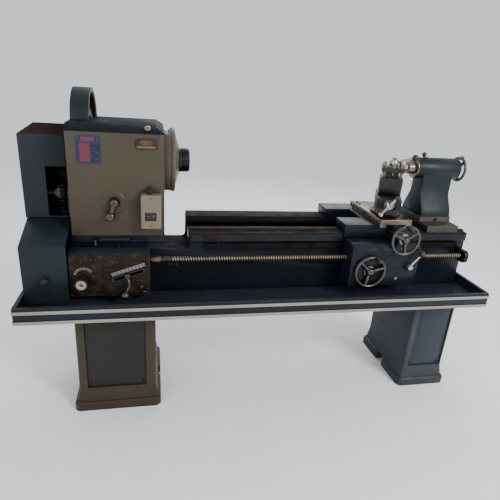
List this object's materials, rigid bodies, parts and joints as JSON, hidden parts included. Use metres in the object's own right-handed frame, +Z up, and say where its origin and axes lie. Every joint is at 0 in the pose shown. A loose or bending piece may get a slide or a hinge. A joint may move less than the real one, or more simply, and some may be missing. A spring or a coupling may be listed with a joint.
{
  "type": "centre lathe",
  "caption": "Gap-bed metalworking lathe on cast pedestals with chip tray, geared headstock, feed gearbox, leadscrew, carriage and tailstock.",
  "frame": {"origin": "on the floor under the middle of the chip tray, which is also the middle of the whole machine's plan", "axes": "+X along the bed from the headstock to the tailstock, +Z up, so the operator stands at -Y; the spindle axis lies in y = 0"},
  "size_m": [2.065, 0.781, 1.386],
  "materials": {
    "beige_paint": "semi-gloss enamel, lightly worn edges",
    "blue_paint": "satin blue-grey enamel",
    "bed_paint": "dark blue-grey enamel over cast iron, thinly oiled",
    "primer_iron": "thin brown primer rubbed through to the iron",
    "bare_steel": "machined, oiled, light staining",
    "dark_steel": "oil-blackened machined steel",
    "cast_iron": "as cast, oiled",
    "cream_enamel": "gloss cream enamel",
    "black_plastic": "moulded",
    "rubber": "matt moulded",
    "speed_plate": "printed plate, satin",
    "red_plastic": "moulded",
    "green_plastic": "moulded",
    "chrome": "polished"
  },
  "bodies": {
    "frame": {"left_pedestal": "beige_paint", "right_pedestal": "beige_paint", "left_pedestal_panel": "blue_paint", "right_pedestal_panel": "blue_paint", "chip_tray": "blue_paint", "tray_trim_upper": "cream_enamel", "tray_trim_lower": "cream_enamel", "bed": "bed_paint", "feed_rack": "dark_steel", "headstock_housing": "beige_paint", "headstock_top_cover": "blue_paint", "oil_filler_cap": "cream_enamel", "front_bearing_cap": "beige_paint", "front_spindle_bearing": "bare_steel", "rear_spindle_bearing": "bare_steel", "drive_belt": "rubber", "motor": "blue_paint", "motor_bracket": "blue_paint", "belt_guard": "blue_paint", "speed_plate": "speed_plate", "name_badge": "black_plastic", "starter_box": "cream_enamel", "starter_conduit": "rubber", "end_cover_lower": "blue_paint", "gear_quadrant": "cast_iron", "feed_gearbox": "primer_iron", "feed_index_plate": "cream_enamel", "leadscrew_end_bracket": "bed_paint"},
    "spindle_set": {"spindle": "dark_steel", "bull_gear": "bare_steel", "spindle_gear": "bare_steel"},
    "input_set": {"input_shaft": "bare_steel", "input_pulley": "cast_iron"},
    "motor_shaft": {"motor_pulley": "cast_iron"},
    "idler": {"idler_gear": "cast_iron"},
    "change": {"change_gear": "bare_steel"},
    "feed_input": {"feed_input_gear": "bare_steel"},
    "lead_screw": {"leadscrew": "bare_steel"},
    "selector": {"speed_selector": "bare_steel"},
    "start": {"start_button": "green_plastic"},
    "stop": {"stop_button": "red_plastic"},
    "upper_cover": {"end_cover_upper": "blue_paint"},
    "feed_dial": {"feed_dial_knob": "bare_steel"},
    "feed_tumbler": {"tumbler_lever": "bare_steel"},
    "carriage": {"saddle": "bed_paint", "apron": "primer_iron"},
    "carriage_wheel": {"carriage_handwheel": "chrome"},
    "half_nut": {"half_nut_lever": "chrome"},
    "cross": {"cross_slide": "bare_steel"},
    "cross_wheel": {"cross_handwheel": "chrome"},
    "swivel": {"compound_base": "cast_iron"},
    "compound": {"compound_slide": "blue_paint"},
    "compound_crank": {"compound_handle": "chrome"},
    "post": {"tool_post": "dark_steel"},
    "post_lever": {"tool_post_lever": "bare_steel"},
    "tailstock": {"tailstock_base": "cast_iron", "tailstock_body": "blue_paint"},
    "quill": {"tailstock_quill": "bare_steel"},
    "tailstock_wheel": {"tailstock_handwheel": "chrome"},
    "quill_clamp": {"quill_clamp_lever": "bare_steel"}
  },
  "joints": [
    {"name": "spindle_spin", "type": "hinge", "parent": "frame", "child": "spindle_set", "pos_m": [-0.6, 0, 1.112], "axis": [1, 0, 0], "continuous": true},
    {"name": "input_spin", "type": "hinge", "parent": "frame", "child": "input_set", "pos_m": [-0.7, 0.098, 1.20485], "axis": [1, 0, 0], "continuous": true},
    {"name": "motor_spin", "type": "hinge", "parent": "frame", "child": "motor_shaft", "pos_m": [-0.78, 0.298, 0.76], "axis": [1, 0, 0], "continuous": true},
    {"name": "idler_spin", "type": "hinge", "parent": "frame", "child": "idler", "pos_m": [-0.874, 0.0013, 0.956], "axis": [1, 0, 0], "continuous": true},
    {"name": "change_spin", "type": "hinge", "parent": "frame", "child": "change", "pos_m": [-0.874, -0.05, 0.7834], "axis": [1, 0, 0], "continuous": true},
    {"name": "feed_input_spin", "type": "hinge", "parent": "frame", "child": "feed_input", "pos_m": [-0.86, -0.186, 0.7062], "axis": [1, 0, 0], "continuous": true},
    {"name": "leadscrew_spin", "type": "hinge", "parent": "frame", "child": "lead_screw", "pos_m": [0.2, -0.225, 0.733], "axis": [1, 0, 0], "continuous": true},
    {"name": "selector_turn", "type": "hinge", "parent": "frame", "child": "selector", "pos_m": [-0.657, -0.23, 0.975], "axis": [0, 1, 0], "range_deg": [-60, 45]},
    {"name": "start_press", "type": "slide", "parent": "frame", "child": "start", "axis": [0, 1, 0], "range_m": [0, 0.003], "stiffness_N_per_m": 600, "springref_m": -0.0005},
    {"name": "stop_press", "type": "slide", "parent": "frame", "child": "stop", "axis": [0, 1, 0], "range_m": [0, 0.003], "stiffness_N_per_m": 600, "springref_m": -0.0005},
    {"name": "upper_cover_swing", "type": "hinge", "parent": "frame", "child": "upper_cover", "pos_m": [-0.845, 0.15, 1.05], "axis": [0, 0, -1], "range_deg": [0, 85]},
    {"name": "feed_dial_turn", "type": "hinge", "parent": "frame", "child": "feed_dial", "pos_m": [-0.787, -0.29, 0.665], "axis": [0, 1, 0], "range_deg": [-150, 150]},
    {"name": "tumbler_shift", "type": "slide", "parent": "frame", "child": "feed_tumbler", "axis": [0.946, 0, 0.324], "range_m": [-0.044, 0.05]},
    {"name": "carriage_travel", "type": "slide", "parent": "frame", "child": "carriage", "axis": [1, 0, 0], "range_m": [-0.62, 0.03]},
    {"name": "carriage_wheel_turn", "type": "hinge", "parent": "carriage", "child": "carriage_wheel", "pos_m": [0.445, -0.306, 0.691], "axis": [0, 1, 0], "continuous": true},
    {"name": "half_nut_turn", "type": "hinge", "parent": "carriage", "child": "half_nut", "pos_m": [0.637, -0.292, 0.711], "axis": [0, 1, 0], "range_deg": [-12, 50]},
    {"name": "cross_wheel_turn", "type": "hinge", "parent": "carriage", "child": "cross_wheel", "pos_m": [0.575, -0.33, 0.85], "axis": [0, 1, 0], "continuous": true},
    {"name": "cross_travel", "type": "slide", "parent": "carriage", "child": "cross", "axis": [0, 1, 0], "range_m": [-0.085, 0.03]},
    {"name": "compound_swivel", "type": "hinge", "parent": "cross", "child": "swivel", "pos_m": [0.575, -0.11, 0.912], "axis": [0, 0, 1], "range_deg": [-30, 40]},
    {"name": "compound_travel", "type": "slide", "parent": "swivel", "child": "compound", "axis": [0.4226, 0.9063, 0], "range_m": [-0.05, 0.02]},
    {"name": "compound_crank_turn", "type": "hinge", "parent": "compound", "child": "compound_crank", "pos_m": [0.50738, -0.25501, 0.984], "axis": [0.4226, 0.9063, 0], "continuous": true},
    {"name": "post_index", "type": "hinge", "parent": "compound", "child": "post", "pos_m": [0.575, -0.11, 1.06], "axis": [0, 0, 1], "continuous": true},
    {"name": "post_lever_turn", "type": "hinge", "parent": "post", "child": "post_lever", "pos_m": [0.575, -0.11, 1.15], "axis": [0, 0, 1], "range_deg": [-60, 90]},
    {"name": "tailstock_travel", "type": "slide", "parent": "frame", "child": "tailstock", "axis": [1, 0, 0], "range_m": [0, 0.05]},
    {"name": "quill_travel", "type": "slide", "parent": "tailstock", "child": "quill", "axis": [-1, 0, 0], "range_m": [-0.03, 0.028]},
    {"name": "tailstock_wheel_turn", "type": "hinge", "parent": "tailstock", "child": "tailstock_wheel", "pos_m": [0.996, 0, 1.112], "axis": [1, 0, 0], "continuous": true},
    {"name": "quill_clamp_turn", "type": "hinge", "parent": "tailstock", "child": "quill_clamp", "pos_m": [0.8, 0, 1.172], "axis": [0, 0, 1], "range_deg": [-50, 60]}
  ],
  "couplings": [
    {"joint": "input_spin", "follows": "spindle_spin", "ratio": -4},
    {"joint": "motor_spin", "follows": "spindle_spin", "ratio": -8},
    {"joint": "idler_spin", "follows": "spindle_spin", "ratio": -0.85714},
    {"joint": "change_spin", "follows": "spindle_spin", "ratio": 0.75},
    {"joint": "feed_input_spin", "follows": "spindle_spin", "ratio": -1.2},
    {"joint": "leadscrew_spin", "follows": "spindle_spin", "ratio": -0.6},
    {"joint": "carriage_wheel_turn", "follows": "carriage_travel", "rad_per_m": -40},
    {"joint": "cross_wheel_turn", "follows": "cross_travel", "rad_per_m": 1000},
    {"joint": "compound_crank_turn", "follows": "compound_travel", "rad_per_m": 1000},
    {"joint": "tailstock_wheel_turn", "follows": "quill_travel", "rad_per_m": -1000}
  ]
}
